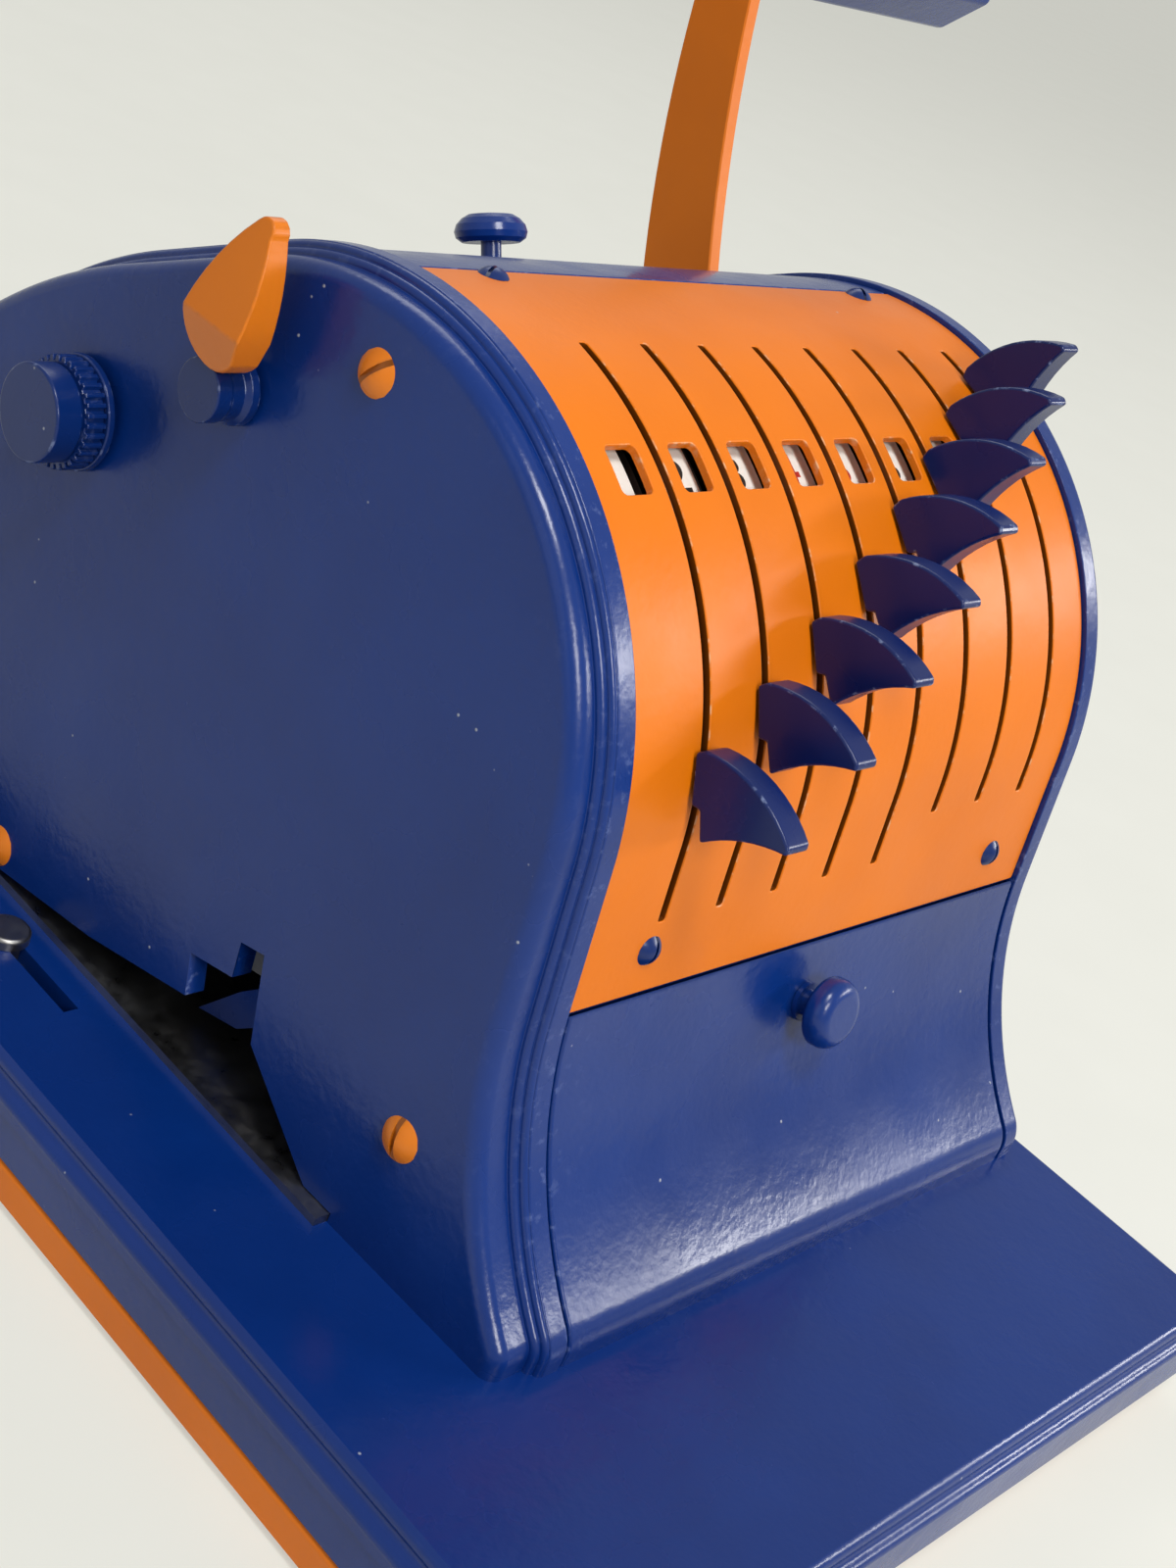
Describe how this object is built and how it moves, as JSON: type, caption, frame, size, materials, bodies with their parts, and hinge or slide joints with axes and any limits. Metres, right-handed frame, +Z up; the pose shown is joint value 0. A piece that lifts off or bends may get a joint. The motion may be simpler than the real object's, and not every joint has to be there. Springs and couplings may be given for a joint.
{
  "type": "check writer",
  "caption": "Desk check writer: cast frames on a moulded base, curved slotted panel with fin levers over number windows, side pull handle.",
  "frame": {"origin": "on the desk plane under the sector shaft, midway between the two covers' sides", "axes": "+X to the operator's right along the sector shaft, +Y to the rear, +Z up"},
  "size_m": [0.2574, 0.2755, 0.2275],
  "materials": {
    "navy_paint": "satin",
    "orange_paint": "satin",
    "steel": "satin",
    "dark_steel": "satin",
    "spring_steel": "satin",
    "brass": "satin",
    "felt": "matte",
    "ribbon_cloth": "matte",
    "strip_card": "matte"
  },
  "bodies": {
    "chassis": {"base_casting": "navy_paint", "bottom_board": "orange_paint", "desk_pad": "felt", "base_screws": "steel", "bed_plate": "steel", "left_plate": "steel", "right_plate": "steel", "left_side_frame": "navy_paint", "right_side_frame": "navy_paint", "side_screws": "orange_paint", "tie_rods": "steel", "cover_bars": "steel", "panel_top_rail": "steel", "front_panel": "orange_paint", "panel_screws": "navy_paint", "lower_cover": "navy_paint", "rear_cover": "navy_paint", "sector_shaft": "steel", "detent_bar": "steel", "detent_comb": "spring_steel", "ink_ribbon": "ribbon_cloth", "line_pointer": "navy_paint", "handle_bushes": "brass", "return_spring": "spring_steel"},
    "digit_1": {"sector_1": "dark_steel", "lever_1": "navy_paint", "number_strip_1": "strip_card"},
    "digit_2": {"sector_2": "dark_steel", "lever_2": "navy_paint", "number_strip_2": "strip_card"},
    "digit_3": {"sector_3": "dark_steel", "lever_3": "navy_paint", "number_strip_3": "strip_card"},
    "digit_4": {"sector_4": "dark_steel", "lever_4": "navy_paint", "number_strip_4": "strip_card"},
    "digit_5": {"sector_5": "dark_steel", "lever_5": "navy_paint", "number_strip_5": "strip_card"},
    "digit_6": {"sector_6": "dark_steel", "lever_6": "navy_paint", "number_strip_6": "strip_card"},
    "digit_7": {"sector_7": "dark_steel", "lever_7": "navy_paint", "number_strip_7": "strip_card"},
    "digit_8": {"sector_8": "dark_steel", "lever_8": "navy_paint", "number_strip_8": "strip_card"},
    "handle": {"handle_arm": "orange_paint", "handle_grip": "navy_paint", "handle_shaft": "steel"},
    "link": {"crank_link": "steel"},
    "platen": {"platen": "steel"},
    "rear_ribbon": {"rear_spool": "steel", "ribbon_knob": "navy_paint"},
    "front_ribbon": {"front_spool": "steel"},
    "finger": {"finger_lever": "orange_paint"},
    "rear_thumb": {"rear_thumb_screw": "navy_paint"},
    "front_thumb": {"cover_knob": "navy_paint"},
    "gauge": {"gauge_button": "steel"}
  },
  "joints": [
    {"name": "digit_lever_1", "type": "hinge", "parent": "chassis", "child": "digit_1", "pos_m": [-0.04705, 0, 0.092], "axis": [-1, 0, 0], "range_deg": [-14.8, 58.25]},
    {"name": "digit_lever_2", "type": "hinge", "parent": "chassis", "child": "digit_2", "pos_m": [-0.03276, 0, 0.092], "axis": [-1, 0, 0], "range_deg": [-22.07, 50.98]},
    {"name": "digit_lever_3", "type": "hinge", "parent": "chassis", "child": "digit_3", "pos_m": [-0.01847, 0, 0.092], "axis": [-1, 0, 0], "range_deg": [-29.34, 43.71]},
    {"name": "digit_lever_4", "type": "hinge", "parent": "chassis", "child": "digit_4", "pos_m": [-0.00419, 0, 0.092], "axis": [-1, 0, 0], "range_deg": [-36.61, 36.44]},
    {"name": "digit_lever_5", "type": "hinge", "parent": "chassis", "child": "digit_5", "pos_m": [0.0101, 0, 0.092], "axis": [-1, 0, 0], "range_deg": [-43.88, 29.17]},
    {"name": "digit_lever_6", "type": "hinge", "parent": "chassis", "child": "digit_6", "pos_m": [0.02439, 0, 0.092], "axis": [-1, 0, 0], "range_deg": [-48.5, 21.9]},
    {"name": "digit_lever_7", "type": "hinge", "parent": "chassis", "child": "digit_7", "pos_m": [0.03868, 0, 0.092], "axis": [-1, 0, 0], "range_deg": [-55.77, 14.63]},
    {"name": "digit_lever_8", "type": "hinge", "parent": "chassis", "child": "digit_8", "pos_m": [0.05296, 0, 0.092], "axis": [-1, 0, 0], "range_deg": [-63.04, 7.36]},
    {"name": "handle_pull", "type": "hinge", "parent": "chassis", "child": "handle", "pos_m": [0.07, 0.034, 0.074], "axis": [1, 0, 0], "range_deg": [0, 70], "stiffness_Nm_per_rad": 0.9, "springref_deg": -28.65},
    {"name": "link_swing", "type": "hinge", "parent": "handle", "child": "link", "pos_m": [0.0562, 0.03821, 0.07105], "axis": [1, 0, 0], "range_deg": [-70.5, 0.5]},
    {"name": "platen_lift", "type": "slide", "parent": "chassis", "child": "platen", "axis": [0, 0, 1], "range_m": [0, 0.0059]},
    {"name": "ribbon_turn", "type": "hinge", "parent": "chassis", "child": "rear_ribbon", "pos_m": [-0.003, 0.0548, 0.1106], "axis": [1, 0, 0], "continuous": true},
    {"name": "front_spool_turn", "type": "hinge", "parent": "chassis", "child": "front_ribbon", "pos_m": [-0.003, -0.072, 0.038], "axis": [1, 0, 0], "continuous": true},
    {"name": "finger_lever_turn", "type": "hinge", "parent": "chassis", "child": "finger", "pos_m": [-0.08, 0.0226, 0.1314], "axis": [1, 0, 0], "range_deg": [-45, 35]},
    {"name": "rear_thumb_turn", "type": "hinge", "parent": "chassis", "child": "rear_thumb", "pos_m": [-0.0023, 0.04874, 0.14276], "axis": [0, 0.4695, 0.8829], "continuous": true},
    {"name": "cover_knob_turn", "type": "hinge", "parent": "chassis", "child": "front_thumb", "pos_m": [0, -0.07345, 0.06364], "axis": [0, -0.9603, 0.279], "continuous": true},
    {"name": "gauge_slide", "type": "slide", "parent": "chassis", "child": "gauge", "axis": [0, 1, 0], "range_m": [-0.0175, 0.0305]}
  ],
  "couplings": [
    {"joint": "link_swing", "follows": "handle_pull", "ratio": -1},
    {"joint": "platen_lift", "follows": "handle_pull", "m_per_rad": 0.004829},
    {"joint": "front_spool_turn", "follows": "ribbon_turn", "ratio": 1}
  ]
}
